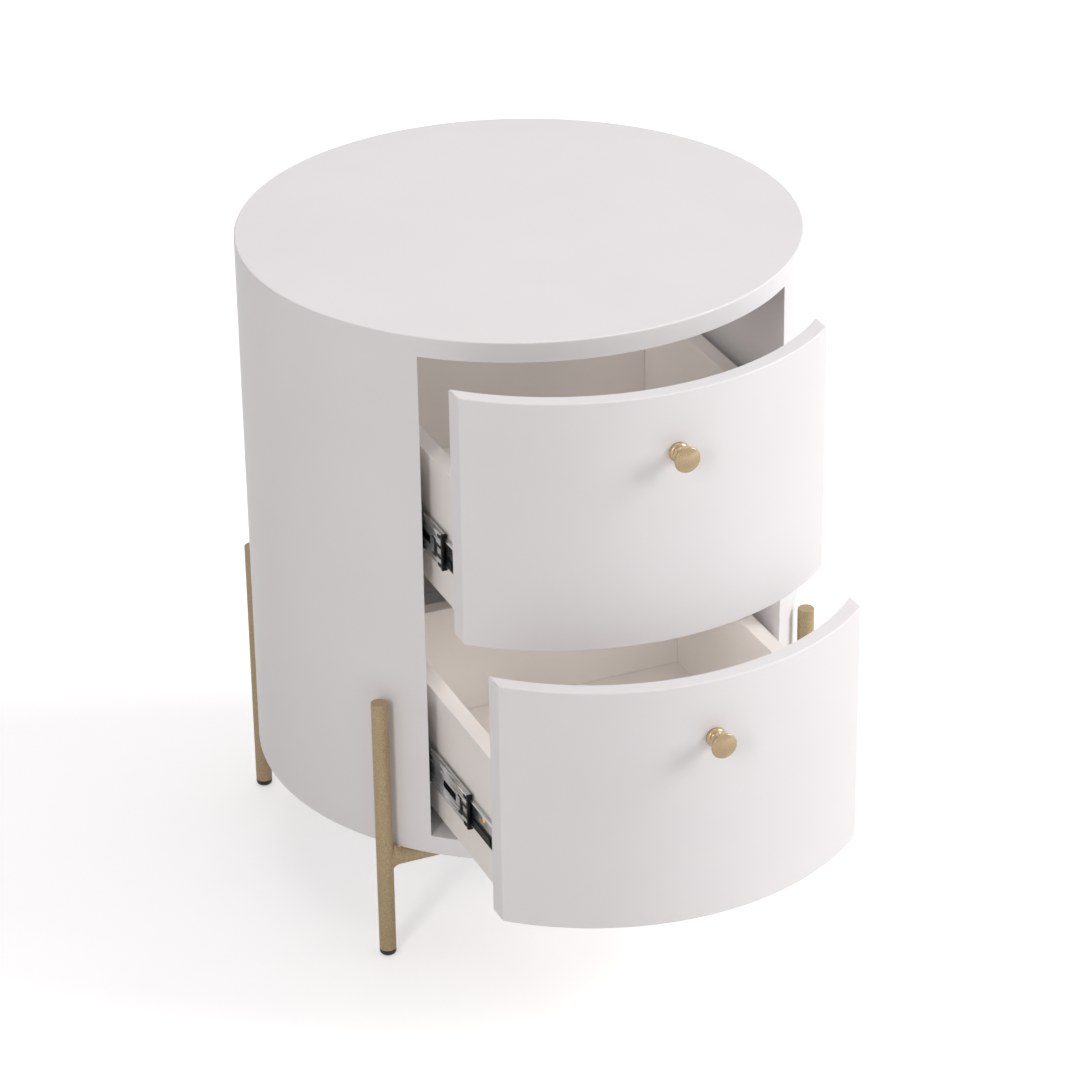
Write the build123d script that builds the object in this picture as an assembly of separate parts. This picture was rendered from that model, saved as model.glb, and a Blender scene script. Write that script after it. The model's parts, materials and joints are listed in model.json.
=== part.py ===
"""Round bedside cabinet with two bow-front drawers on a rod-leg base.

Millimetres, +Z up. The origin is on the floor, below the cabinet's axis, and the front faces -Y.
Both drawers stand pulled out, each by its own distance, on three-part ball slides.
"""
import os
from math import cos, radians, sin, sqrt

from build123d import *

# Cabinet body
body_diameter = 495.0
body_height = 497.0
floor_clearance = 105.0
panel_thickness = 18.0
shell_thickness = 12.0
side_panel_thickness = 18.0
opening_width = 336.0
edge_bevel = 1.2

# Rod base
leg_diameter = 15.0
leg_wall = 1.5
leg_gap = 5.3
leg_angle = 51.79
leg_height = 255.0
leg_cap_thickness = 3.0
leg_chamfer = 0.8
rail_diameter = 15.0
foot_height = 6.0
foot_stem_length = 14.0
foot_stem_clearance = 0.1
foot_sides = 12
rail_screw_spacing = 200.0
rail_screw_radius = 2.5
rail_screw_grip = 12.0
rail_screw_head_radius = 4.5
rail_screw_head_height = 2.8

# Drawers
front_thickness = 15.0
front_gap = 2.5
front_side_gap = 1.7
front_bevel = 1.0
board_thickness = 15.0
box_height = 123.0
box_lift = 7.0
base_thickness = 5.0
base_lift = 10.0
groove_depth = 5.0
groove_clearance = 0.3
upper_pull = 81.6
lower_pull = 154.2

# Knobs
knob_below_top = 53.0
knob_flange_diameter = 17.6
knob_flange_edge = 1.6
knob_neck_diameter = 8.6
knob_neck_start = 5.5
knob_neck_end = 10.5
knob_cup_diameter = 14.0
knob_head_diameter = 23.0
knob_head_at = 15.0
knob_length = 20.6
knob_bevel = 0.5
knob_screw_radius = 2.0
knob_screw_grip = 9.0
knob_screw_head_radius = 4.0
knob_screw_head_height = 2.4

# Ball slides, with heights across the rails and depths out from the drawer side
slide_gap = 13.0
slide_setback = 2.5
slide_back_gap = 25.0
slide_overlap = 10.0
middle_share = 0.6
slide_below_box_top = 72.0
slide_sheet = 1.2
slide_bend = 0.9
outer_member_height = 42.0
outer_member_depth = 9.5
middle_member_height = 33.2
middle_member_depth = 4.9
middle_member_out = 1.8
middle_groove_height = 1.6
middle_groove_depth = 0.4
middle_groove_lift = 8.5
inner_member_height = 25.0
inner_member_depth = 4.2
race_lip = 0.7
cage_sheet = 0.7
cage_length = 120.0
cage_margin = 4.5
cage_clearance = 0.3
window_length = 28.0
window_height = 7.5
window_setback = 25.0
end_cap_thickness = 3.0
end_cap_plug = 12.0
lever_length = 55.0
lever_setback = 22.0
lever_height = 6.0
lever_depth = 2.0
screw_clearance = 0.2

# Dowels and the flats around fasteners
dowel_radius = 4.0
dowel_flutes = 6
shank_sides = 6
head_sides = 8
socket_sides = 8
dowel_length = 26.0
dowel_board_depth = 9.0
dowel_inset = 28.0

# Levels and places worked out from the sizes above
body_radius = body_diameter / 2
body_bottom = floor_clearance
body_top = body_bottom + body_height
opening_bottom = body_bottom + panel_thickness
opening_top = body_top - panel_thickness
opening_half = opening_width / 2
shell_inner_radius = body_radius - shell_thickness
front_half = opening_half - front_side_gap
front_inner_radius = body_radius - front_thickness
front_height = (opening_top - opening_bottom - 3 * front_gap) / 2
box_half = opening_half - slide_gap
box_inner_half = box_half - board_thickness
rail_level = body_bottom - rail_diameter / 2
leg_radius = leg_diameter / 2
leg_bore_radius = leg_radius - leg_wall
leg_circle = body_radius + leg_gap + leg_radius
leg_x = leg_circle * sin(radians(leg_angle))
leg_y = leg_circle * cos(radians(leg_angle))
slide_front = slide_setback - sqrt(front_inner_radius ** 2 - front_half ** 2)
slide_back = sqrt(shell_inner_radius ** 2 - opening_half ** 2) - slide_back_gap
slide_travel = slide_back - slide_front - slide_overlap
back_wall_depth = slide_back
back_wall_front = back_wall_depth - board_thickness
cage_front = slide_front + cage_margin + slide_travel * middle_share / 2
middle_front = slide_front + end_cap_thickness

SIDES = {"left": -1, "right": 1}
ENDS = {"front": -1, "back": 1}
ON_BASE = (Align.CENTER, Align.CENTER, Align.MIN)


def save(name, *solids):
    """Write one node, as a single solid or as a group of separate ones."""
    shape = solids[0] if len(solids) == 1 else Compound(children=list(solids))
    export_step(shape, os.path.join("parts", name + ".step"))


def disc(radius, bottom, top):
    return Pos(0, 0, bottom) * Cylinder(radius, top - bottom, align=ON_BASE)


def block(x_range, y_range, z_range):
    corner = [min(r) for r in (x_range, y_range, z_range)]
    size = [abs(r[1] - r[0]) for r in (x_range, y_range, z_range)]
    return Pos(*corner) * Box(*size, align=(Align.MIN, Align.MIN, Align.MIN))


def rod(start, end, radius):
    """A round bar between two points."""
    run = Vector(*end) - Vector(*start)
    return Plane(origin=start, z_dir=run) * Cylinder(radius, run.length, align=ON_BASE)


def prism(start, end, radius, sides):
    """A bar with flats around it between two points."""
    run = Vector(*end) - Vector(*start)
    return Plane(origin=start, z_dir=run) * extrude(RegularPolygon(radius, sides), run.length)


def screw(seat, direction, grip, radius, head_radius, head_height):
    """A screw: the head lies on its seat, and the shank runs on along the direction."""
    place = Vector(*seat)
    way = Vector(*direction)
    head = prism(place - way * head_height, place, head_radius, head_sides)
    return head + prism(place, place + way * grip, radius, shank_sides)


def dowel(joint, direction):
    """A dowel across a joint: part of it in the thin board, the rest in the end grain behind."""
    way = Vector(*direction)
    start = Vector(*joint) - way * dowel_board_depth
    return prism(start, start + way * dowel_length, dowel_radius, dowel_flutes)


def channel(web_at, tip_at, half_height, web, arm, lip=0.0):
    """A C-section for the right-hand slide, drawn across X and Z.

    web_at is the outer face of the web and tip_at the free edge of the arms, both measured out
    from the drawer's side. A lip turns the free edges in.
    """
    way = 1 if tip_at > web_at else -1
    upper = [(web_at, half_height), (tip_at, half_height)]
    if lip:
        upper += [
            (tip_at, half_height - arm - lip),
            (tip_at - way * arm, half_height - arm - lip),
            (tip_at - way * arm, half_height - arm),
        ]
    else:
        upper.append((tip_at, half_height - arm))
    upper.append((web_at + way * web, half_height - arm))
    outline = upper + [(u, -v) for u, v in reversed(upper)]
    return make_face(Polyline(*outline, close=True))


def rolled_channel(web_at, tip_at, half_height, lip=0.0):
    """A C-section rolled from slide sheet, with its outer corners bent round."""
    section = channel(web_at, tip_at, half_height, slide_sheet, slide_sheet, lip)
    corners = [v for v in section.vertices() if abs(v.Y) > half_height - slide_sheet / 2]
    return chamfer(corners, slide_bend)


def run_along(section, level, front, back):
    """Extrude a slide section from front to back at its level, outside the drawer's right side."""
    start = Plane((box_half, back, level), x_dir=(1, 0, 0), z_dir=(0, -1, 0))
    return extrude(start * section, back - front)


def both_sides(solid):
    return {"left": mirror(solid, about=Plane.YZ), "right": solid}


# Cabinet body: two discs, a bent shell between them and the flat panels that carry the slides
side_panel_x = (opening_half, opening_half + side_panel_thickness)
side_panel_mid = sum(side_panel_x) / 2
side_panel_reach = sqrt(shell_inner_radius ** 2 - side_panel_x[1] ** 2)
panel_dowels = [
    dowel((side * side_panel_mid, end * (side_panel_reach - dowel_inset), level), (0, 0, way))
    for side in SIDES.values()
    for end in ENDS.values()
    for level, way in ((opening_top, -1), (opening_bottom, 1))
]
rail_screws = [
    screw(
        (side * rail_screw_spacing / 2, end * leg_y, body_bottom - rail_diameter),
        (0, 0, 1),
        rail_diameter + rail_screw_grip,
        rail_screw_radius,
        rail_screw_head_radius,
        rail_screw_head_height,
    )
    for side in SIDES.values()
    for end in ENDS.values()
]

top_panel = disc(body_radius, opening_top, body_top)
top_panel = chamfer(top_panel.edges().group_by(Axis.Z)[-1], edge_bevel)
bottom_panel = disc(body_radius, body_bottom, opening_bottom)

shell = disc(body_radius, opening_bottom, opening_top) - disc(shell_inner_radius, opening_bottom, opening_top)
shell -= block((-opening_half, opening_half), (-body_diameter, 0), (opening_bottom, opening_top))

side_panels = both_sides(
    block(side_panel_x, (-body_radius, body_radius), (opening_bottom, opening_top))
    & disc(shell_inner_radius, opening_bottom, opening_top)
)

# Rod base: two welded frames, each of two legs and a rail under the cabinet
legs = {}
feet = {}
for end_name, end in ENDS.items():
    for side_name, side in SIDES.items():
        x = side * leg_x
        y = end * leg_y
        tube = rod((x, y, foot_height), (x, y, leg_height), leg_radius)
        tube = chamfer(tube.edges().group_by(Axis.Z)[-1], leg_chamfer)
        bore_top = leg_height - leg_cap_thickness
        tube -= prism((x, y, foot_height), (x, y, bore_top), leg_bore_radius, socket_sides)
        glide = prism((x, y, 0), (x, y, foot_height), leg_radius, foot_sides)
        stem_radius = leg_bore_radius - foot_stem_clearance
        stem_top = foot_height + foot_stem_length
        glide += prism((x, y, foot_height), (x, y, stem_top), stem_radius, socket_sides)
        legs[end_name + "_" + side_name] = tube
        feet[end_name + "_" + side_name] = glide

rails = {}
for end_name, end in ENDS.items():
    y = end * leg_y
    rail = rod((-leg_x, y, rail_level), (leg_x, y, rail_level), rail_diameter / 2)
    for side in SIDES.values():
        rail -= rod((side * leg_x, y, 0), (side * leg_x, y, body_top), leg_radius)
    rails[end_name] = rail

for fastener in rail_screws:
    bottom_panel -= fastener
    rails = {name: rail - fastener for name, rail in rails.items()}
for fastener in panel_dowels:
    top_panel -= fastener
    bottom_panel -= fastener
    side_panels = {name: panel - fastener for name, panel in side_panels.items()}

# Drawers, each with its own slides
os.makedirs("parts", exist_ok=True)
for name, front_bottom, pull in (
    ("upper", opening_bottom + 2 * front_gap + front_height, upper_pull),
    ("lower", opening_bottom + front_gap, lower_pull),
):
    front_top = front_bottom + front_height
    box_bottom = front_bottom + box_lift
    box_top = box_bottom + box_height
    level = box_top - slide_below_box_top
    knob_level = front_top - knob_below_top
    inner_space = disc(front_inner_radius, front_bottom, front_top)

    # Slide members: the outer one on the cabinet, the inner one on the drawer, the middle between
    outer_tip = slide_gap - outer_member_depth
    middle_web = middle_member_out + middle_member_depth
    outer_member = run_along(
        rolled_channel(slide_gap, outer_tip, outer_member_height / 2, race_lip),
        level,
        slide_front,
        slide_back,
    )
    middle_member = run_along(
        rolled_channel(middle_web, middle_member_out, middle_member_height / 2, race_lip),
        level,
        middle_front,
        slide_back,
    )
    middle_member -= block(
        (box_half, box_half + slide_gap),
        (slide_front + window_setback, slide_front + window_setback + window_length),
        (level - window_height / 2, level + window_height / 2),
    )
    groove_base = box_half + middle_web - middle_groove_depth
    for way in (-1, 1):
        groove_level = level + way * middle_groove_lift
        middle_member -= block(
            (groove_base, box_half + slide_gap),
            (middle_front, slide_back),
            (groove_level - middle_groove_height / 2, groove_level + middle_groove_height / 2),
        )
    inner_member = run_along(
        rolled_channel(0, inner_member_depth, inner_member_height / 2),
        level,
        slide_front,
        slide_back,
    )

    # Ball cages in the two pairs of races
    outer_race = outer_member_height / 2 - slide_sheet - cage_clearance
    outer_cage = run_along(
        channel(
            middle_web + cage_clearance + cage_sheet,
            outer_tip + slide_sheet + cage_clearance,
            outer_race,
            cage_sheet,
            outer_race - middle_member_height / 2 - cage_clearance,
        ),
        level,
        cage_front,
        cage_front + cage_length,
    )
    inner_race = middle_member_height / 2 - slide_sheet - cage_clearance
    inner_cage = run_along(
        channel(
            inner_member_depth + cage_clearance + cage_sheet,
            middle_member_out + slide_sheet + cage_clearance,
            inner_race,
            cage_sheet,
            inner_race - inner_member_height / 2 - cage_clearance,
        ),
        level,
        cage_front,
        cage_front + cage_length,
    )

    # Plastic pieces: a cap on the middle member's front end and a release lever in the inner member
    cap_arm = middle_member_height / 2 - inner_member_height / 2 - cage_clearance
    end_cap = run_along(
        channel(
            middle_web,
            middle_member_out,
            middle_member_height / 2,
            middle_web - inner_member_depth - cage_clearance,
            cap_arm,
        ),
        level,
        slide_front,
        middle_front,
    )
    plug_half = middle_member_height / 2 - slide_sheet
    for way in (-1, 1):
        end_cap += block(
            (box_half + middle_member_out + slide_sheet, box_half + middle_web - slide_sheet),
            (middle_front, middle_front + end_cap_plug),
            (level + way * plug_half, level + way * (inner_member_height / 2 + cage_clearance)),
        )
    lever_back = slide_front + lever_setback + lever_length
    lever_top = level - inner_member_height / 2 + slide_sheet + lever_height
    lever = block(
        (box_half + slide_sheet, box_half + slide_sheet + lever_depth),
        (slide_front + lever_setback, lever_back),
        (lever_top - lever_height, lever_top),
    )
    lever = chamfer(lever.edges().filter_by(Axis.X).group_by(Axis.Z)[-1], lever_depth)

    # Drawer boards: a bent front, sides scribed to its back, a back wall and a grooved-in base
    front = disc(body_radius, front_bottom, front_top) - inner_space
    front &= block((-front_half, front_half), (-body_diameter, 0), (front_bottom, front_top))
    outer_face = front.faces().filter_by(GeomType.CYLINDER).sort_by(SortBy.RADIUS)[-1]
    front = chamfer(outer_face.edges(), front_bevel)
    side_board = block((box_inner_half, box_half), (-body_radius, back_wall_depth), (box_bottom, box_top))
    sides = both_sides(side_board & inner_space)
    back = block((-box_inner_half, box_inner_half), (back_wall_front, back_wall_depth), (box_bottom, box_top))

    def drawer_base(grow):
        half = box_inner_half + groove_depth + grow
        depth = back_wall_front + groove_depth + grow
        levels = (box_bottom + base_lift, box_bottom + base_lift + base_thickness)
        return block((-half, half), (-body_radius, depth), levels) & disc(
            front_inner_radius + groove_depth + grow, *levels
        )

    base = drawer_base(0)
    groove = drawer_base(groove_clearance)

    # Knob, turned in one piece, and the screw that holds it through the front
    knob_radius = knob_head_diameter / 2
    flange_radius = knob_flange_diameter / 2
    knob_outline = make_face(
        Polyline(
            (0, 0),
            (flange_radius, 0),
            (flange_radius, knob_flange_edge),
            (knob_neck_diameter / 2, knob_neck_start),
            (knob_neck_diameter / 2, knob_neck_end),
            (knob_cup_diameter / 2, knob_head_at),
            (knob_radius, knob_head_at),
            (knob_radius, knob_length - knob_bevel),
            (knob_radius - knob_bevel, knob_length),
            (0, knob_length),
            close=True,
        )
    )
    knob_seat = (0, -body_radius, knob_level)
    knob = Plane(origin=knob_seat, z_dir=(0, -1, 0)) * revolve(Plane.XZ * knob_outline, Axis.Z)
    screw_seat = -sqrt(front_inner_radius ** 2 - knob_screw_head_radius ** 2)
    knob_screw = screw(
        (0, screw_seat, knob_level),
        (0, -1, 0),
        body_radius + screw_seat + knob_screw_grip,
        knob_screw_radius,
        knob_screw_head_radius,
        knob_screw_head_height,
    )
    knob -= knob_screw
    front -= prism(
        (0, screw_seat, knob_level),
        (0, -body_radius - knob_flange_edge, knob_level),
        knob_screw_radius + screw_clearance,
        shank_sides,
    )

    # Dowels in the corners of the box
    side_mid = box_half - board_thickness / 2
    side_front = -sqrt(front_inner_radius ** 2 - side_mid ** 2)
    dowels = [
        place
        for side in SIDES.values()
        for height in (box_bottom + dowel_inset, box_top - dowel_inset)
        for place in (
            dowel((side * box_inner_half, (back_wall_front + back_wall_depth) / 2, height), (-side, 0, 0)),
            dowel((side * side_mid, side_front, height), (0, 1, 0)),
        )
    ]
    for peg in dowels:
        front -= peg
        back -= peg
        sides = {key: board - peg for key, board in sides.items()}
    front -= groove
    back -= groove
    sides = {key: board - groove for key, board in sides.items()}

    # Everything on the drawer moves its whole pull, and the slides between take their shares of it
    pulled = Pos(0, -pull, 0)
    between = Pos(0, -pull * middle_share, 0)
    for side, board in sides.items():
        save(name + "_drawer_" + side + "_side", pulled * board)
    save(name + "_drawer_front", pulled * front)
    save(name + "_drawer_back", pulled * back)
    save(name + "_drawer_base", pulled * base)
    save(name + "_drawer_dowels", *[pulled * peg for peg in dowels])
    save(name + "_knob", pulled * knob)
    save(name + "_knob_screw", pulled * knob_screw)
    for side in SIDES:
        save(name + "_" + side + "_outer_slide", both_sides(outer_member)[side])
        save(name + "_" + side + "_middle_slide", between * both_sides(middle_member)[side])
        save(name + "_" + side + "_inner_slide", pulled * both_sides(inner_member)[side])
    for node, solid, share in (
        ("_slide_outer_cages", outer_cage, middle_share / 2),
        ("_slide_end_caps", end_cap, middle_share),
        ("_slide_inner_cages", inner_cage, (1 + middle_share) / 2),
        ("_slide_levers", lever, 1),
    ):
        save(name + node, *[Pos(0, -pull * share, 0) * part for part in both_sides(solid).values()])

save("top_panel", top_panel)
save("bottom_panel", bottom_panel)
save("shell", shell)
save("panel_dowels", *panel_dowels)
save("rail_screws", *rail_screws)
for side, panel in side_panels.items():
    save(side + "_side_panel", panel)
for end, rail in rails.items():
    save(end + "_rail", rail)
for corner, leg in legs.items():
    save(corner + "_leg", leg)
    save(corner + "_foot", feet[corner])
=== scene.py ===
"""Looks of the round bedside cabinet: white lacquer, gold rods and knobs, zinc ball slides."""
import json
from math import asin, cos, pi, radians, sin, sqrt

import bmesh
import bpy
from mathutils import Matrix, Vector


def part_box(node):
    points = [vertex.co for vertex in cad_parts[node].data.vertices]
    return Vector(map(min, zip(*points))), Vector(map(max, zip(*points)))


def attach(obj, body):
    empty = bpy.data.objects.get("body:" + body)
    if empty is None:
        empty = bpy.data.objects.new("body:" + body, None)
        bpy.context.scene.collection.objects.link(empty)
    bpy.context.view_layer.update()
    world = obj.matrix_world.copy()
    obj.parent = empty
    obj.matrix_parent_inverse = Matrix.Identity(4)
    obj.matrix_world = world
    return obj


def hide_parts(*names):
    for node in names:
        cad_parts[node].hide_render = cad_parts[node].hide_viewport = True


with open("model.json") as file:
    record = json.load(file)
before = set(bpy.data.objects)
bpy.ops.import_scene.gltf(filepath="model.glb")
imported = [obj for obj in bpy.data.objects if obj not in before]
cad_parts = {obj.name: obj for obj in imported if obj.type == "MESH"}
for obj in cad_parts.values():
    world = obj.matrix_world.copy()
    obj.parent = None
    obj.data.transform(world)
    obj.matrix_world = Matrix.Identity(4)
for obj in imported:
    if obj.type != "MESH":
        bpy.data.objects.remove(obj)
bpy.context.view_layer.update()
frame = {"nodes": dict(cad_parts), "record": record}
nodes = frame["nodes"]

# Fine sizes in metres that the looks add to the frame. First the cabinet, its boards and its rods
EDGE_ROUND = 0.0014
SHELL_THICKNESS = 0.012
JAMB_ROUND = 0.0008
JAMB_LENGTH = 0.1
JAMB_FRONT = -0.17
FRONT_THICKNESS = 0.015
FRONT_ROUND = 0.0013
BOARD_ROUND = 0.0006
METAL_ROUND = 0.0003
LONG_EDGE = 0.012
LEG_CHAMFER = 0.0008
FOOT_ROUND = 0.0035
WELD_REACH = 0.008
WELD_DROP = 0.0058
WELD_RISE = 0.0068
WELD_CURVE = 1.1
WELD_TAPER = 0.75

# Knobs: radii and distances from the seat, turns in degrees and the powers of the neck's curves
KNOB_FLANGE = 0.0088
KNOB_SEAT_ROUND = 0.0005
KNOB_BULGE = 0.0034
KNOB_BULGE_LIFT = 0.0007
KNOB_BULGE_TURN = 78
KNOB_NECK = 0.0043
KNOB_WAIST = 0.0088
KNOB_UNDER_HEAD = 0.0160
KNOB_LIP = 0.0014
KNOB_BACK_ROUND = 0.0011
KNOB_BACK_TURN = 80
KNOB_FACE_ROUND = 0.0013
KNOB_FACE_TURN = 62
KNOB_FACE_DROP = 0.0035
NECK_CURVE = 2.4
FLARE_CURVE = 2.6
FLARE_RISE = 0.8

# Slides: depths of the middle member's section from its free edges, and its window with the black stop, a
# near black sheet of painted shade
SLIDE_SHEET = 0.0007
SLIDE_STEEL = 0.0012
SLIDE_HALF = 0.0166
SLIDE_BEND = 0.0028
SLIDE_FACE = 0.0049
SLIDE_SHOULDER = 0.0046
SLIDE_WEB = 0.00435
SLIDE_GROOVE = 0.00425
SLIDE_WINDOW_SETBACK = 0.025
SLIDE_WINDOW_LENGTH = 0.028
SLIDE_WINDOW_HALF = 0.00375
STOP_DEPTH = (0.0006, 0.0004)

# Black clip and hooks of the slides, with heights from the member's middle
CLIP_SETBACK = 0.0110
CLIP_WIDTH = 0.0036
CLIP_PROUD = 0.0004
CLIP_ROUND = 0.0002
CLIP_SPAN = (-0.0095, 0.0080)
CLIP_TIP = 0.0018
CLIP_UPPER_ARM = (0.0028, 0.0052)
CLIP_LOWER_ARM = (-0.0072, -0.0048)
CAP_HOOK = (0.0120, 0.0150)
CAP_HOOK_LENGTH = 0.0060

# Screws: heads as (radius, height), and the cross recess in shares of them, drawn as a black cross of
# painted shade in the dome
SCREW_SETBACK = 0.040
SCREW_LIFT = 0.0045
SCREW_HEAD = (0.0034, 0.0016)
RAIL_SCREW_HEAD = (0.0045, 0.0027)
KNOB_SCREW_HEAD = (0.0040, 0.0023)
CROSS_LENGTH = 0.55
CROSS_WIDTH = 0.13
CROSS_DEPTH = 0.06
CROSS_LEVEL = 0.9

# Fineness of round shapes, and the limits for a sharp edge, a flat joint, one point and a point on the axis
DISC_STEPS = 256
SHELL_STEPS = 220
FRONT_STEPS = 120
LEG_STEPS = 64
ROD_STEPS = 48
KNOB_STEPS = 96
CURVE_STEPS = 12
SCREW_STEPS = 32
DOME_STEPS = 8
ROUND_STEPS = 6
SHARP_ANGLE = radians(32)
FLAT_ANGLE = radians(0.5)
SAME_POINT = 1e-6
ON_AXIS = 1e-7

# Surfaces: tones as they are seen on screen, gloss as a range of roughness, scales of noise per metre
LOOKS = {
    "white_lacquer": dict(
        tones=((0.905, 0.896, 0.898), (0.915, 0.906, 0.908)), gloss=(0.42, 0.50),
        grain=1400.0, grain_depth=0.000012, grain_strength=0.10, specular=0.35),
    "drawer_board": dict(
        tones=((0.944, 0.925, 0.905), (0.956, 0.938, 0.919)), gloss=(0.46, 0.56),
        grain=1100.0, grain_depth=0.000015, specular=0.3),
    "gold_metal": dict(
        tones=((0.64, 0.563, 0.437), (0.76, 0.677, 0.54)), gloss=(0.38, 0.48), metallic=0.15,
        cloud=1000.0, grain=1300.0, grain_depth=0.00003, grain_strength=0.35, specular=0.12),
    "knob_gold": dict(
        tones=((0.665, 0.583, 0.452), (0.725, 0.643, 0.506)), gloss=(0.22, 0.28), metallic=0.45,
        cloud=70.0, grain=1600.0, grain_depth=0.00001, grain_strength=0.05),
    "zinc_steel": dict(
        tones=((0.72, 0.73, 0.73), (0.84, 0.845, 0.85)), gloss=(0.14, 0.24), metallic=0.9,
        cloud=45.0, grain=700.0, grain_strength=0.06, stretch=(1.0, 0.04, 1.0)),
    # Near black and dull: painted shade for the slides' windows, on the stop behind them
    "slide_window_painted_shade": dict(
        tones=((0.02, 0.02, 0.022), (0.035, 0.035, 0.038)), gloss=(0.8, 0.9),
        cloud=80.0, grain=2600.0, specular=0.05),
    "yellow_screws": dict(
        tones=((0.80, 0.60, 0.42), (0.88, 0.70, 0.48)), gloss=(0.24, 0.36), metallic=1.0,
        cloud=250.0, grain=2000.0),
    "bright_screws": dict(
        tones=((0.78, 0.78, 0.79), (0.86, 0.86, 0.87)), gloss=(0.22, 0.34), metallic=1.0,
        cloud=250.0, grain=2000.0),
    "black_plastic": dict(
        tones=((0.045, 0.046, 0.05), (0.075, 0.076, 0.082)), gloss=(0.38, 0.5),
        cloud=80.0, grain=2600.0, grain_depth=0.00003, specular=0.18),
    "foot_rubber": dict(
        tones=((0.05, 0.05, 0.062), (0.08, 0.08, 0.095)), gloss=(0.36, 0.5),
        cloud=120.0, grain=2400.0, grain_depth=0.00003),
    "dowel_wood": dict(
        tones=((0.80, 0.66, 0.46), (0.88, 0.75, 0.56)), gloss=(0.55, 0.7),
        cloud=120.0, grain=500.0, grain_depth=0.00008, stretch=(1.0, 1.0, 0.15)),
}
GLOSS_RANGE = (0.3, 0.7)
TONE_RANGE = (0.32, 0.68)

# Floor: half its width, its glow for viewing rays near the object, and where that turns to full white
FLOOR_HALF = 14.0
FLOOR_TONE = (0.93, 0.93, 0.93)
FLOOR_GLOW = 0.44
WHITE_FROM = 1.1
WHITE_AT = 3.5

# Light colours, the world's own strength and the room over the lamps inside the bays
NEUTRAL = (1.0, 0.99, 0.995)
WARM = (1.0, 0.965, 0.96)
WORLD_FILL = 0.28
INSIDE_LAMP_GAP = 0.006

# View of the photograph
VIEW_AZIMUTH = radians(-22.894)
VIEW_ELEVATION = radians(27.468)
VIEW_ROLL = radians(-0.869)
VIEW_DISTANCE = 3.737
VIEW_TARGET = Vector((0.0133, -0.0056, 0.2916))
VIEW_REACH = 60.0
SENSOR = 36.0
LENS = 137.80


# Materials

def linear(red, green, blue):
    """A colour written as it is seen on screen, turned into scene light."""
    def channel(c):
        return c / 12.92 if c <= 0.04045 else ((c + 0.055) / 1.055) ** 2.4
    return (channel(red), channel(green), channel(blue), 1.0)


def new_material(name):
    material = bpy.data.materials.new(name)
    material.use_nodes = True
    tree = material.node_tree
    return material, tree, tree.nodes["Principled BSDF"]


def object_coordinates(tree, stretch=(1.0, 1.0, 1.0)):
    """Coordinates in the frame's metres, so that grain keeps its real scale on every piece."""
    coordinates = tree.nodes.new("ShaderNodeTexCoord")
    mapping = tree.nodes.new("ShaderNodeMapping")
    mapping.inputs["Scale"].default_value = stretch
    tree.links.new(coordinates.outputs["Object"], mapping.inputs["Vector"])
    return mapping.outputs["Vector"]


def noise(tree, vector, scale, detail=3.0):
    node = tree.nodes.new("ShaderNodeTexNoise")
    node.inputs["Scale"].default_value = scale
    node.inputs["Detail"].default_value = detail
    tree.links.new(vector, node.inputs["Vector"])
    return node.outputs["Fac"]


def spread(tree, factor, source, target):
    """Map a factor's source range onto a target range."""
    node = tree.nodes.new("ShaderNodeMapRange")
    node.inputs["From Min"].default_value = source[0]
    node.inputs["From Max"].default_value = source[1]
    node.inputs["To Min"].default_value = target[0]
    node.inputs["To Max"].default_value = target[1]
    tree.links.new(factor, node.inputs["Value"])
    return node.outputs["Result"]


def two_tone(tree, factor, tones):
    ramp = tree.nodes.new("ShaderNodeValToRGB")
    for element, position, tone in zip(ramp.color_ramp.elements, TONE_RANGE, tones):
        element.position = position
        element.color = linear(*tone)
    tree.links.new(factor, ramp.inputs["Fac"])
    return ramp.outputs["Color"]


def bump(tree, shader, height, strength, distance):
    node = tree.nodes.new("ShaderNodeBump")
    node.inputs["Strength"].default_value = strength
    node.inputs["Distance"].default_value = distance
    tree.links.new(height, node.inputs["Height"])
    tree.links.new(node.outputs["Normal"], shader.inputs["Normal"])


def finish(name, tones, gloss, metallic=0.0, cloud=9.0, grain=900.0, grain_depth=0.00002,
           grain_strength=0.25, stretch=(1.0, 1.0, 1.0), specular=0.5):
    """A surface with colour clouds, uneven gloss and a fine grain."""
    material, tree, shader = new_material(name)
    clouds = noise(tree, object_coordinates(tree), cloud)
    fine = noise(tree, object_coordinates(tree, stretch), grain, detail=2.0)
    tree.links.new(two_tone(tree, clouds, tones), shader.inputs["Base Color"])
    tree.links.new(spread(tree, fine, GLOSS_RANGE, gloss), shader.inputs["Roughness"])
    bump(tree, shader, fine, grain_strength, grain_depth)
    shader.inputs["Metallic"].default_value = metallic
    shader.inputs["Specular IOR Level"].default_value = specular
    return material


materials = {name: finish(name, **look) for name, look in LOOKS.items()}
node_slot = {part["node"]: part["material_slot"] for part in frame["record"]["subparts"]}
node_body = {
    node: body
    for body, members in frame["record"]["behaviour"]["bodies"].items()
    for node in members
}


# Building pieces

def steady_normals(mesh):
    """Normals weighted by face area, so that flats stay flat beside their rounded edges."""
    around = [[] for _ in mesh.vertices]
    for face in mesh.polygons:
        normal = face.normal.copy()
        for index in face.vertices:
            around[index].append((normal, normal * face.area))
    nearly = cos(SHARP_ANGLE)
    normals = []
    for face in mesh.polygons:
        for index in face.vertices:
            shares = [weighted for normal, weighted in around[index] if normal.dot(face.normal) > nearly]
            normals.append(sum(shares, Vector()).normalized())
    mesh.normals_split_custom_set(normals)


def add_piece(name, mesh, body, slot, material=None):
    """Link a mesh as a piece that moves with a body."""
    mesh.shade_smooth()
    steady_normals(mesh)
    mesh.materials.clear()
    mesh.materials.append(materials[material or slot])
    piece = bpy.data.objects.new(name, mesh)
    bpy.context.scene.collection.objects.link(piece)
    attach(piece, body)
    return piece


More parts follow.
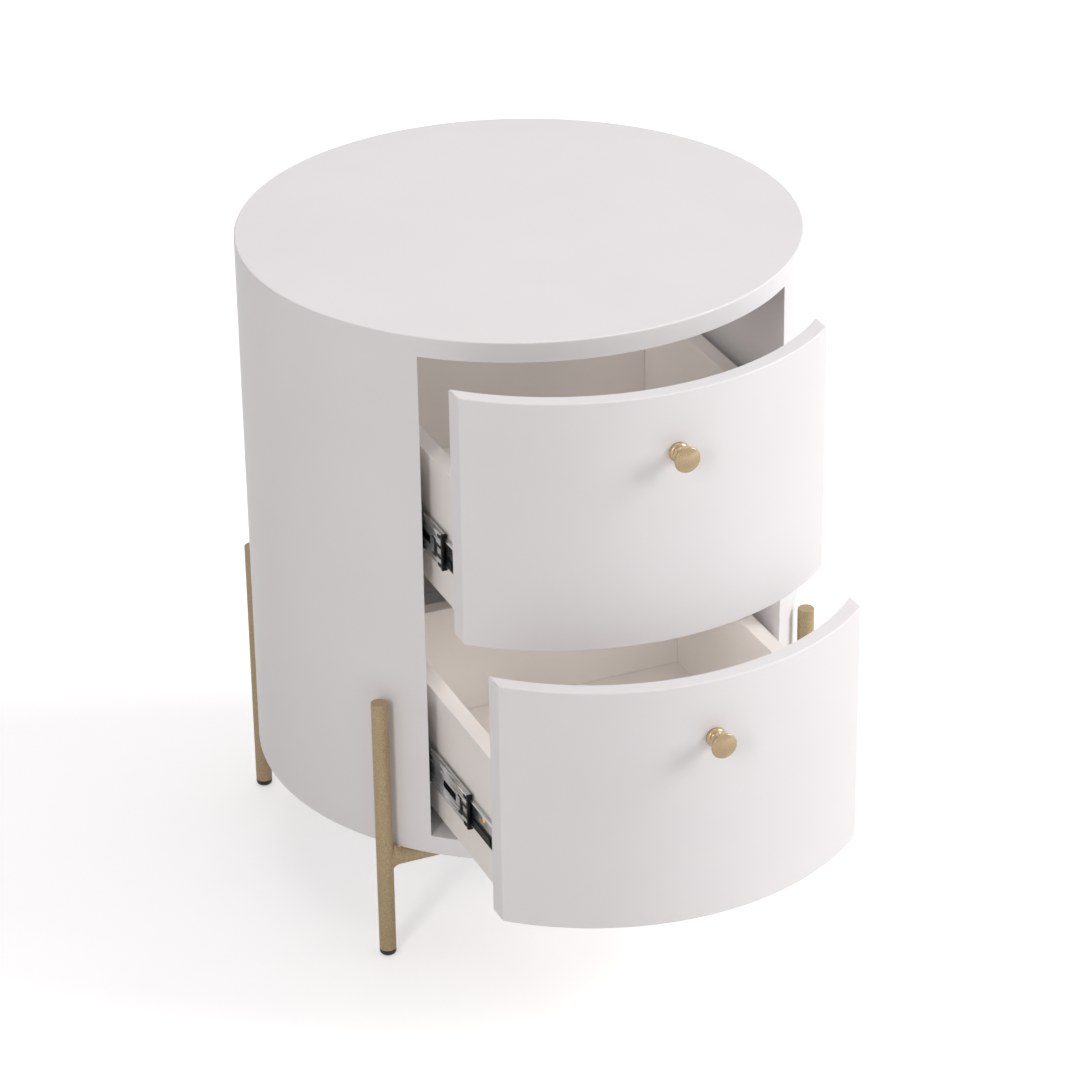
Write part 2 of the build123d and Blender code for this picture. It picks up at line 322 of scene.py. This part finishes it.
def stand_for(node, name, builder, material=None):
    """Turn a builder into the piece that stands for a CAD node, on that node's body."""
    piece = add_piece(name, to_mesh(name, builder), node_body[node], node_slot[node], material)
    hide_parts(node)


def to_mesh(name, builder):
    bmesh.ops.recalc_face_normals(builder, faces=builder.faces)
    mesh = bpy.data.meshes.new(name)
    builder.to_mesh(mesh)
    builder.free()
    return mesh


def lathe(profile, turn, steps):
    """Revolve a profile of (radius, height) points about +Z and place it with the matrix turn."""
    builder = bmesh.new()
    angles = [2 * pi * i / steps for i in range(steps)]
    rings = []
    for radius, height in profile:
        if radius < ON_AXIS:
            points = [Vector((0, 0, height))]
        else:
            points = [Vector((radius * cos(angle), radius * sin(angle), height)) for angle in angles]
        rings.append([builder.verts.new(turn @ point) for point in points])
    for lower, upper in zip(rings, rings[1:]):
        for i in range(steps):
            j = (i + 1) % steps
            corners = [lower[i % len(lower)], lower[j % len(lower)]]
            corners += [upper[j % len(upper)], upper[i % len(upper)]]
            unique = list(dict.fromkeys(corners))
            if len(unique) > 2:
                builder.faces.new(unique)
    for ring in (rings[0], rings[-1]):
        if len(ring) > 1:
            builder.faces.new(ring)
    return builder


def corner(center_radius, center_height, radius, start, end, steps=ROUND_STEPS):
    """Points of a rounded corner of a lathe profile, between two angles in degrees."""
    angles = [radians(start + (end - start) * i / steps) for i in range(steps + 1)]
    return [(center_radius + radius * cos(a), center_height + radius * sin(a)) for a in angles]


def bevel_sharp(builder, width, keep=lambda edge: True, segments=3):
    """Round the sharp edges that the test keep accepts."""
    bmesh.ops.recalc_face_normals(builder, faces=builder.faces)
    edges = [e for e in builder.edges if e.is_manifold and e.calc_face_angle() > SHARP_ANGLE and keep(e)]
    bmesh.ops.bevel(builder, geom=edges, offset=width, offset_type="OFFSET", segments=segments,
                    profile=0.5, affect="EDGES", clamp_overlap=True)


def bent_wall(stations, bottom, top):
    """A wall that follows pairs of outer and inner plan points, closed at both ends."""
    builder = bmesh.new()
    loops = []
    for outer, inner in stations:
        points = ((*outer, bottom), (*outer, top), (*inner, top), (*inner, bottom))
        loops.append([builder.verts.new(point) for point in points])
    for first, second in zip(loops, loops[1:]):
        for i in range(4):
            builder.faces.new((first[i], first[(i + 1) % 4], second[(i + 1) % 4], second[i]))
    builder.faces.new(loops[0])
    builder.faces.new(list(reversed(loops[-1])))
    return builder


def box_mesh(name, boxes, width):
    """Blocks given by their ranges in x, y and z, with their edges rounded by width."""
    sides = ((0, 1, 3, 2), (4, 6, 7, 5), (0, 4, 5, 1), (2, 3, 7, 6), (0, 2, 6, 4), (1, 5, 7, 3))
    builder = bmesh.new()
    for x_range, y_range, z_range in boxes:
        corners = [builder.verts.new((x, y, z)) for x in x_range for y in y_range for z in z_range]
        for side in sides:
            builder.faces.new([corners[i] for i in side])
    if width:
        bevel_sharp(builder, width, segments=2)
    return to_mesh(name, builder)


def soften(node, width):
    """A copy of a CAD node with its long sharp edges rounded."""
    builder = bmesh.new()
    builder.from_mesh(nodes[node].data)
    bmesh.ops.remove_doubles(builder, verts=builder.verts, dist=SAME_POINT)
    bmesh.ops.dissolve_limit(builder, angle_limit=FLAT_ANGLE, verts=builder.verts, edges=builder.edges)
    bevel_sharp(builder, width, lambda edge: edge.calc_length() > LONG_EDGE)
    stand_for(node, node + "_finished", builder)


# Cabinet body

def body_radius():
    low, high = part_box("top_panel")
    return (high.x - low.x) / 2


def make_discs():
    """The top and the floor of the cabinet, each with its outer edge rounded."""
    low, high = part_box("top_panel")
    radius = body_radius()
    r = EDGE_ROUND
    top = [(0, low.z), (radius, low.z)]
    top += corner(radius - r, high.z - r, r, 0, 90)
    top += [(0, high.z)]
    stand_for("top_panel", "round_top", lathe(top, Matrix(), DISC_STEPS))
    low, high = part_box("bottom_panel")
    under = [(0, low.z)]
    under += corner(radius - r, low.z + r, r, -90, 0)
    under += [(radius, high.z), (0, high.z)]
    stand_for("bottom_panel", "round_floor", lathe(under, Matrix(), DISC_STEPS))


def is_jamb(edge):
    """Whether an edge is one of the upright edges of the front opening."""
    first, second = (vertex.co for vertex in edge.verts)
    return abs(first.z - second.z) > JAMB_LENGTH and min(first.y, second.y) < JAMB_FRONT


def make_shell():
    low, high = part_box("shell")
    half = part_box("right_side_panel")[0].x
    radius = body_radius()
    inner = radius - SHELL_THICKNESS
    outer_start = asin(half / radius)
    inner_start = asin(half / inner)
    stations = []
    for i in range(SHELL_STEPS + 1):
        t = i / SHELL_STEPS
        a = outer_start + (2 * pi - 2 * outer_start) * t
        b = inner_start + (2 * pi - 2 * inner_start) * t
        stations.append(((-radius * sin(a), -radius * cos(a)), (-inner * sin(b), -inner * cos(b))))
    wall = bent_wall(stations, low.z, high.z)
    bevel_sharp(wall, JAMB_ROUND, is_jamb)
    stand_for("shell", "bent_shell", wall)


# Rod base

def make_leg(name):
    """A rod with a rounded top, and the rubber glide under it."""
    low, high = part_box(name + "_leg")
    place = Matrix.Translation(((low.x + high.x) / 2, (low.y + high.y) / 2, 0))
    radius = (high.x - low.x) / 2
    c = LEG_CHAMFER
    tube = [(0, low.z), (radius, low.z)]
    tube += corner(radius - c, high.z - c, c, 0, 90, steps=4)
    tube += [(0, high.z)]
    stand_for(name + "_leg", name + "_rod", lathe(tube, place, LEG_STEPS))
    r = FOOT_ROUND
    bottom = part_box(name + "_foot")[0].z
    glide = [(0, bottom)]
    glide += corner(radius - r, bottom + r, r, -90, 0, steps=8)
    glide += [(radius, low.z), (0, low.z)]
    stand_for(name + "_foot", name + "_glide", lathe(glide, place, LEG_STEPS))


def make_rail(end):
    """A rod along X that flares into the legs in a round weld, most at its underside."""
    low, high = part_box(end + "_rail")
    leg_low, leg_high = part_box(end + "_right_leg")
    radius = (high.y - low.y) / 2
    middle_y = (high.y + low.y) / 2
    weld_start = leg_low.x - WELD_REACH
    weld_steps = ROUND_STEPS * 2
    stations = [(0.0, 0.0)]
    for i in range(weld_steps + 1):
        share = sin(pi / 2 * i / weld_steps)
        stations.append((weld_start + WELD_REACH * share, share))
    stations.append(((leg_low.x + leg_high.x) / 2, 1.0))
    stations = [(-x, share) for x, share in reversed(stations[1:])] + stations
    builder = bmesh.new()
    rings = []
    for x, share in stations:
        drop = WELD_DROP * (1 - sqrt(1 - share ** 2))
        rise = WELD_RISE * share ** WELD_CURVE
        ring = []
        for i in range(ROD_STEPS):
            angle = 2 * pi * i / ROD_STEPS
            depth = (1 - sin(angle)) / 2
            width = radius * (1 - WELD_TAPER * abs(sin(angle)) * drop / WELD_DROP)
            height = high.z + rise - (2 * radius + drop + rise) * depth
            ring.append(builder.verts.new((x, middle_y + width * cos(angle), height)))
        rings.append(ring)
    for first, second in zip(rings, rings[1:]):
        for i in range(ROD_STEPS):
            j = (i + 1) % ROD_STEPS
            builder.faces.new((first[i], first[j], second[j], second[i]))
    builder.faces.new(rings[0])
    builder.faces.new(rings[-1])
    stand_for(end + "_rail", end + "_rod_rail", builder)


def make_base():
    for end in ("front", "back"):
        for side in ("left", "right"):
            make_leg(end + "_" + side)
        make_rail(end)


# Drawers

def make_front(drawer):
    """The bent board of a drawer front, between two arcs about the same middle."""
    low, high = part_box(drawer + "_drawer_front")
    radius = body_radius()
    inner = radius - FRONT_THICKNESS
    middle = low.y + radius
    half_turn = asin(high.x / radius)
    stations = []
    for i in range(FRONT_STEPS + 1):
        a = half_turn * (2 * i / FRONT_STEPS - 1)
        x = radius * sin(a)
        stations.append(((x, middle - radius * cos(a)), (x, middle - sqrt(inner ** 2 - x ** 2))))
    wall = bent_wall(stations, low.z, high.z)
    bevel_sharp(wall, FRONT_ROUND)
    stand_for(drawer + "_drawer_front", drawer + "_bow_front", wall)


def knob_profile(head, length):
    """Points of a turned knob from its seat: flange, bulge, neck, flare and a crowned head."""
    r = KNOB_SEAT_ROUND
    profile = [(0, 0)] + corner(KNOB_FLANGE - r, r, r, -90, 0, steps=3)
    profile += corner(KNOB_FLANGE - KNOB_BULGE, KNOB_BULGE_LIFT, KNOB_BULGE, 0, KNOB_BULGE_TURN, steps=8)
    bulge_radius, bulge_end = profile[-1]
    shares = [i / CURVE_STEPS for i in range(1, CURVE_STEPS + 1)]
    for t in shares:
        radius = KNOB_NECK + (bulge_radius - KNOB_NECK) * (1 - t) ** NECK_CURVE
        profile.append((radius, bulge_end + (KNOB_WAIST - bulge_end) * t))
    for t in shares:
        radius = KNOB_NECK + (head - KNOB_LIP - KNOB_NECK) * t ** FLARE_CURVE
        profile.append((radius, KNOB_WAIST + (KNOB_UNDER_HEAD - KNOB_WAIST) * t ** FLARE_RISE))
    r = KNOB_BACK_ROUND
    profile += corner(head - r, KNOB_UNDER_HEAD + r, r, -KNOB_BACK_TURN, 0, steps=5)
    r = KNOB_FACE_ROUND
    profile += corner(head - r, length - KNOB_FACE_DROP, r, 0, KNOB_FACE_TURN, steps=6)
    face_radius, face_start = profile[-1]
    for t in shares:
        inward = 1 - t
        profile.append((face_radius * inward, face_start + (length - face_start) * (1 - inward ** 2)))
    return profile


def make_knob(drawer):
    low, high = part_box(drawer + "_knob")
    profile = knob_profile((high.x - low.x) / 2, high.y - low.y)
    seat = Matrix.Translation((0, high.y, (low.z + high.z) / 2))
    turn = seat @ Matrix.Rotation(pi / 2, 4, "X")
    stand_for(drawer + "_knob", drawer + "_turned_knob", lathe(profile, turn, KNOB_STEPS), "knob_gold")


# Slides

def middle_section():
    """Outline of the rolled middle member, from its lower free edge to its upper one.

    Points are (out, up) in metres: out from the free edges to the face that looks at the cabinet.
    """
    upper = [
        (SLIDE_WEB, SLIDE_WINDOW_HALF), (SLIDE_WEB, 0.0047), (SLIDE_FACE, 0.0052), (SLIDE_FACE, 0.0082),
        (SLIDE_SHOULDER, 0.0086), (SLIDE_GROOVE, 0.0089), (SLIDE_GROOVE, 0.0099),
        (SLIDE_SHOULDER, 0.0102), (SLIDE_FACE, 0.0106),
    ]
    upper += corner(SLIDE_FACE - SLIDE_BEND, SLIDE_HALF - SLIDE_BEND, SLIDE_BEND, 0, 90, steps=8)
    upper += [(0.0006, SLIDE_HALF), (0.0001, 0.0163), (0.0, 0.0158), (0.0, 0.0149)]
    return [(out, -up) for out, up in reversed(upper)] + upper


def inner_section(outline):
    """The same outline on the other side of the sheet."""
    inside = []
    for i, (out, up) in enumerate(outline):
        before = outline[max(i - 1, 0)]
        after = outline[min(i + 1, len(outline) - 1)]
        along = Vector((after[0] - before[0], after[1] - before[1])).normalized()
        inside.append((out - along.y * SLIDE_SHEET, up + along.x * SLIDE_SHEET))
    return inside


def rolled_sheet(ys, place):
    """The middle member's sheet along ys, with a window in its web between the second and third of them.

    place turns out, y and up into a point of the frame.
    """
    outline = middle_section()
    count = len(outline)
    web = count // 2 - 1
    builder = bmesh.new()

    def grid(section):
        return [[builder.verts.new(place(out, y, up)) for out, up in section] for y in ys]

    outer = grid(outline)
    inner = grid(inner_section(outline))
    for rows in (outer, inner):
        for j in range(len(ys) - 1):
            for i in range(count - 1):
                if not (i == web and j == 1):
                    builder.faces.new((rows[j][i], rows[j][i + 1], rows[j + 1][i + 1], rows[j + 1][i]))

    def close_along(i, j):
        builder.faces.new((outer[j][i], outer[j + 1][i], inner[j + 1][i], inner[j][i]))

    def close_across(i, j):
        builder.faces.new((outer[j][i], outer[j][i + 1], inner[j][i + 1], inner[j][i]))

    for j in range(len(ys) - 1):
        for i in (0, count - 1):
            close_along(i, j)
    for j in (0, len(ys) - 1):
        for i in range(count - 1):
            close_across(i, j)
    for i in (web, web + 1):
        close_along(i, 1)
    for j in (1, 2):
        close_across(web, j)
    return builder


def make_middle_slide(drawer, side):
    """The middle member as bent sheet, with the black stop in its window as painted shade, and the clip and
    hooks on it.
    """
    node = drawer + "_" + side + "_middle_slide"
    low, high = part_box(node)
    way = 1 if side == "right" else -1
    edge = low.x if side == "right" else high.x
    level = (low.z + high.z) / 2
    window = low.y + SLIDE_WINDOW_SETBACK
    ys = (low.y, window, window + SLIDE_WINDOW_LENGTH, high.y)

    def place(out, y, up):
        return (edge + way * out, y, level + up)

    stand_for(node, node + "_rolled", rolled_sheet(ys, place))

    # The stop is a dark sheet in the window, darker than the black plastic: painted shade inside the window
    face = edge + way * SLIDE_WEB
    stop_depth = [face - way * depth for depth in STOP_DEPTH]
    stop_height = (level - SLIDE_WINDOW_HALF, level + SLIDE_WINDOW_HALF)
    stop = box_mesh(node + "_stop", [(stop_depth, ys[1:3], stop_height)], 0)
    add_piece(node + "_stop", stop, node_body[node], "black_plastic", "slide_window_painted_shade")

    front = low.y
    hook = front + CLIP_SETBACK
    back = hook + CLIP_WIDTH
    bottom, top = CLIP_SPAN
    hook_low, hook_high = CAP_HOOK
    blocks = (
        ((hook, back), CLIP_SPAN),
        ((front, hook), CLIP_UPPER_ARM),
        ((front, hook), CLIP_LOWER_ARM),
        ((back, back + CLIP_WIDTH), (top - CLIP_TIP, top)),
        ((back, back + CLIP_WIDTH), (bottom, bottom + CLIP_TIP)),
        ((front, front + CAP_HOOK_LENGTH), (hook_low, hook_high)),
        ((front, front + CAP_HOOK_LENGTH), (-hook_high, -hook_low)),
    )
    depth = (face, edge + way * (SLIDE_FACE + CLIP_PROUD))
    boxes = [(depth, reach, [level + up for up in heights]) for reach, heights in blocks]
    clip = box_mesh(node + "_clip", boxes, CLIP_ROUND)
    add_piece(node + "_clip", clip, node_body[node], "black_plastic")


# Screws

def screw_heads(name, seats, direction, head):
    """Round heads with a cross recess, in one mesh for the metal and one for the recesses: a black cross in
    the dome, painted shade for the recess.
    """
    radius, height = head
    ball = (radius ** 2 + height ** 2) / (2 * height)
    dome = [(0, 0)]
    for i in range(DOME_STEPS):
        up = height * sin(pi / 2 * i / DOME_STEPS)
        dome.append((sqrt(ball ** 2 - (ball - height + up) ** 2), up))
    dome.append((0, height))
    turn = Vector(direction).to_track_quat("Z", "Y").to_matrix().to_4x4()
    lift = Matrix.Translation((0, 0, height * CROSS_LEVEL))
    metal = bmesh.new()
    cross = bmesh.new()
    for seat in seats:
        place = Matrix.Translation(seat) @ turn
        one = to_mesh("head", lathe(dome, place, SCREW_STEPS))
        metal.from_mesh(one)
        bpy.data.meshes.remove(one)
        # The recess is no hollow: a thin black cross set in the dome stands in for the shade inside it
        for length, width in ((CROSS_LENGTH, CROSS_WIDTH), (CROSS_WIDTH, CROSS_LENGTH)):
            arm = bmesh.ops.create_cube(cross, size=2.0)["verts"]
            scale = Matrix.Diagonal((radius * length, radius * width, height * CROSS_DEPTH, 1.0))
            bmesh.ops.transform(cross, matrix=place @ lift @ scale, verts=arm)
    return to_mesh(name, metal), to_mesh(name + "_recess_shade", cross)


def add_heads(name, seats, direction, head, body, material="bright_screws", replaced=()):
    metal, cross = screw_heads(name, seats, direction, head)
    piece = add_piece(name, metal, body, "bright_screws", material)
    for node in replaced:
        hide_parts(node)
    # The black cross is painted shade for the recess, not a black plastic part
    add_piece(name + "_recess_shade", cross, body, "black_plastic")


def make_slide_screws(drawer, side):
    way = 1 if side == "right" else -1
    for member, facing in (("inner", way), ("outer", -way)):
        node = drawer + "_" + side + "_" + member + "_slide"
        low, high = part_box(node)
        web = low.x if facing > 0 else high.x
        level = (low.z + high.z) / 2 + SCREW_LIFT
        places = (low.y + SCREW_SETBACK, (low.y + high.y) / 2, high.y - SCREW_SETBACK)
        seats = [(web + facing * SLIDE_STEEL, y, level) for y in places]
        add_heads(node + "_screws", seats, (facing, 0, 0), SCREW_HEAD, node_body[node], "yellow_screws")


def make_rail_screws():
    node = "rail_screws"
    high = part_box(node)[1]
    radius = RAIL_SCREW_HEAD[0]
    seat_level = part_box("front_rail")[0].z
    seats = [
        (side * (high.x - radius), end * (high.y - radius), seat_level)
        for side in (-1, 1)
        for end in (-1, 1)
    ]
    add_heads("rail_screw_heads", seats, (0, 0, -1), RAIL_SCREW_HEAD, node_body[node], replaced=[node])


def make_knob_screw(drawer):
    node = drawer + "_knob_screw"
    low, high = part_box(node)
    seat = (0, high.y - KNOB_SCREW_HEAD[1], (low.z + high.z) / 2)
    add_heads(node + "_head", [seat], (0, 1, 0), KNOB_SCREW_HEAD, node_body[node], replaced=[node])


make_discs()
make_shell()
make_base()
make_rail_screws()
for drawer in ("upper", "lower"):
    make_knob_screw(drawer)
for drawer in ("upper", "lower"):
    make_front(drawer)
    make_knob(drawer)
    for board in ("left_side", "right_side", "back"):
        soften(drawer + "_drawer_" + board, BOARD_ROUND)
    for plastic in ("slide_end_caps", "slide_levers"):
        soften(drawer + "_" + plastic, METAL_ROUND)
    for side in ("left", "right"):
        make_middle_slide(drawer, side)
        make_slide_screws(drawer, side)
        for member in ("inner", "outer"):
            soften(drawer + "_" + side + "_" + member + "_slide", METAL_ROUND)

for node, piece in nodes.items():
    piece.data.materials.clear()
    piece.data.materials.append(materials[node_slot[node]])
    piece.data.shade_smooth()
    piece.data.set_sharp_from_angle(angle=SHARP_ANGLE)


# Floor, light and camera

def greater(tree, first, second):
    node = tree.nodes.new("ShaderNodeMath")
    node.operation = "MAXIMUM"
    tree.links.new(first, node.inputs[0])
    tree.links.new(second, node.inputs[1])
    return node.outputs[0]


def white_to_view(tree):
    """A factor of 1 for rays that look at the backdrop, straight or in a reflection."""
    path = tree.nodes.new("ShaderNodeLightPath")
    seen = greater(tree, path.outputs["Is Camera Ray"], path.outputs["Is Glossy Ray"])
    return greater(tree, seen, path.outputs["Is Transmission Ray"])


def mix_for_view(tree, plain, viewed, output):
    """Lead one shader to the output for light, and another for viewing rays."""
    mix = tree.nodes.new("ShaderNodeMixShader")
    tree.links.new(white_to_view(tree), mix.inputs[0])
    tree.links.new(plain.outputs[0], mix.inputs[1])
    tree.links.new(viewed.outputs[0], mix.inputs[2])
    tree.links.new(mix.outputs[0], tree.nodes[output].inputs["Surface"])


def make_floor():
    """A pale floor that keeps the object's shadow and glows to white around it for viewing rays."""
    s = FLOOR_HALF
    mesh = bpy.data.meshes.new("floor")
    mesh.from_pydata([(-s, -s, 0), (s, -s, 0), (s, s, 0), (-s, s, 0)], [], [(0, 1, 2, 3)])
    floor = bpy.data.objects.new("floor", mesh)
    bpy.context.scene.collection.objects.link(floor)
    material, tree, shader = new_material("pale_floor")
    shader.inputs["Base Color"].default_value = linear(*FLOOR_TONE)
    shader.inputs["Roughness"].default_value = 0.9
    shader.inputs["Specular IOR Level"].default_value = 0.1
    away = tree.nodes.new("ShaderNodeVectorMath")
    away.operation = "LENGTH"
    tree.links.new(object_coordinates(tree), away.inputs[0])
    strength = spread(tree, away.outputs["Value"], (WHITE_FROM, WHITE_AT), (FLOOR_GLOW, 1.0))
    glow = tree.nodes.new("ShaderNodeEmission")
    tree.links.new(strength, glow.inputs["Strength"])
    total = tree.nodes.new("ShaderNodeAddShader")
    tree.links.new(shader.outputs[0], total.inputs[0])
    tree.links.new(glow.outputs[0], total.inputs[1])
    mix_for_view(tree, shader, total, "Material Output")
    mesh.materials.append(material)


def make_world():
    """A soft fill for light, and plain white for viewing rays."""
    world = bpy.data.worlds.new("studio")
    world.use_nodes = True
    bpy.context.scene.world = world
    tree = world.node_tree
    fill = tree.nodes["Background"]
    fill.inputs["Color"].default_value = (*WARM, 1.0)
    fill.inputs["Strength"].default_value = WORLD_FILL
    backdrop = tree.nodes.new("ShaderNodeBackground")
    backdrop.inputs["Color"].default_value = (1.0, 1.0, 1.0, 1.0)
    backdrop.inputs["Strength"].default_value = 1.0
    mix_for_view(tree, fill, backdrop, "World Output")


def make_lamp(name, place, target, size, power, color):
    """An area lamp at a place, aimed at a target, with its size in metres and its power in watts."""
    lamp = bpy.data.lights.new(name, "AREA")
    lamp.shape = "RECTANGLE"
    lamp.size, lamp.size_y = size
    lamp.energy = power
    lamp.color = color
    holder = bpy.data.objects.new(name, lamp)
    holder.location = place
    holder.rotation_euler = (Vector(target) - Vector(place)).to_track_quat("-Z", "Y").to_euler()
    holder.visible_camera = False
    bpy.context.scene.collection.objects.link(holder)


def make_studio_lamps():
    """A large key at the right, a strip at the left, a low lamp at the back and one over the top."""
    drawers = (0, -0.1, 0.3)
    middle = (0, 0, 0.3)
    make_lamp("key", (5.218, -2.775, 3.2), drawers, size=(3.0, 3.0), power=300.0, color=NEUTRAL)
    make_lamp("front", (-2.014, -1.945, 1.5), drawers, size=(0.45, 1.6), power=21.0, color=WARM)
    make_lamp("back", (1.63, 3.87, 0.33), middle, size=(2.4, 0.48), power=35.0, color=NEUTRAL)
    make_lamp("top", (0.2, 0.3, 3.2), middle, size=(2.4, 2.4), power=27.0, color=NEUTRAL)


def make_inside_lamps():
    """A weak glow in each bay, for the light that many more bounces would bring there.

    The lower lamp lies far enough back to stay behind its drawer's front when that is closed.
    """
    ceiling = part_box("top_panel")[0].z - INSIDE_LAMP_GAP
    make_lamp("upper_inside", (0, 0, ceiling), (0, 0, 0), size=(0.24, 0.18), power=0.12, color=WARM)
    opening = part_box("upper_drawer_front")[0].z - INSIDE_LAMP_GAP
    place = (-0.01, -0.163, opening)
    make_lamp("lower_inside", place, (-0.01, -0.26, 0.15), size=(0.24, 0.036), power=0.15, color=WARM)


def make_camera():
    level = cos(VIEW_ELEVATION)
    back = Vector((sin(VIEW_AZIMUTH) * level, -cos(VIEW_AZIMUTH) * level, sin(VIEW_ELEVATION)))
    right = Vector((cos(VIEW_AZIMUTH), sin(VIEW_AZIMUTH), 0))
    up = back.cross(right)
    turned_right = right * cos(VIEW_ROLL) + up * sin(VIEW_ROLL)
    turned_up = up * cos(VIEW_ROLL) - right * sin(VIEW_ROLL)
    camera = bpy.data.cameras.new("camera")
    camera.sensor_width = SENSOR
    camera.lens = LENS
    camera.clip_end = VIEW_REACH
    holder = bpy.data.objects.new("camera", camera)
    pose = Matrix((turned_right, turned_up, back)).transposed().to_4x4()
    pose.translation = VIEW_TARGET + back * VIEW_DISTANCE
    holder.matrix_world = pose
    bpy.context.scene.collection.objects.link(holder)
    bpy.context.scene.camera = holder


make_floor()
make_world()
make_studio_lamps()
make_inside_lamps()
make_camera()
bpy.context.scene.view_settings.view_transform = "Standard"
